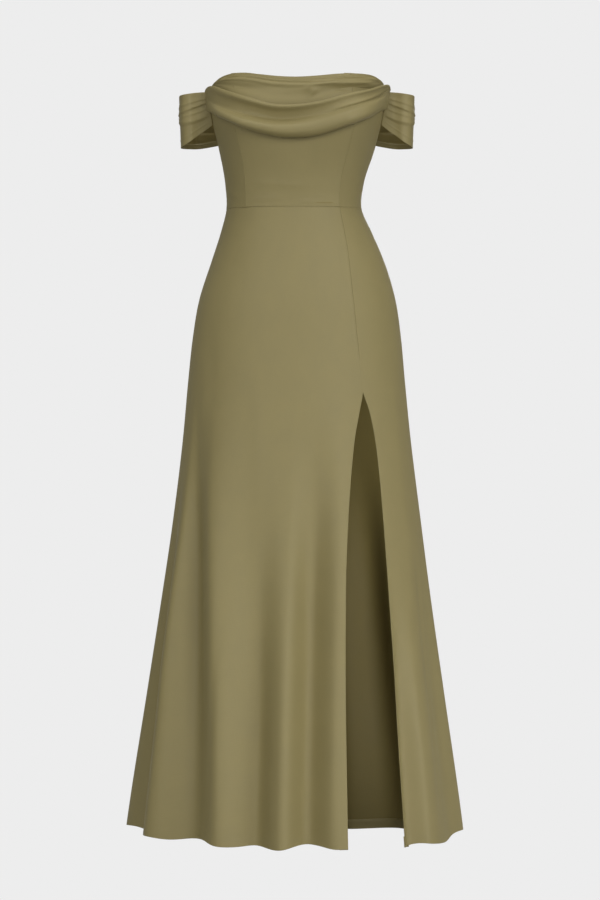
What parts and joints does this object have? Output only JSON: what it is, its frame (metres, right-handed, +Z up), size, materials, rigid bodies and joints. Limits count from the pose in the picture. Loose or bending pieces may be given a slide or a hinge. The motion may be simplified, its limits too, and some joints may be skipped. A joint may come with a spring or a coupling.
{
  "type": "bridesmaid dress",
  "caption": "Floor-length off-the-shoulder satin bridesmaid dress, worn hollow shape, with a draped neckline, band sleeves, a princess-seamed bodice and a thigh slit.",
  "frame": {"origin": "centre of the waist seam, inside the dress, where the fitted bodice grips its wearer", "axes": "+Z up towards the neckline, +X the wearer's left, the front of the dress faces -Y"},
  "size_m": [0.5981, 0.5257, 1.363],
  "materials": {
    "satin": "soft satin with a low sheen",
    "zip_metal": "colour-matched enamel, satin"
  },
  "bodies": {
    "dress": {"bodice_front": "satin", "bodice_side_front_right": "satin", "bodice_side_front_left": "satin", "bodice_side_back_right": "satin", "bodice_side_back_left": "satin", "bodice_back_right": "satin", "bodice_back_left": "satin", "drape_upper": "satin", "drape_lower": "satin", "sleeve_left": "satin", "sleeve_right": "satin", "skirt_front": "satin", "skirt_front_left": "satin", "skirt_back_left": "satin", "skirt_back_right": "satin", "zip_slider": "zip_metal"},
    "pull": {"zip_pull": "zip_metal"}
  },
  "joints": [
    {"name": "zip_pull_hinge", "type": "hinge", "parent": "dress", "child": "pull", "pos_m": [0, 0.10427, 0.1814], "axis": [1, 0, 0], "range_deg": [-5, 150]}
  ]
}
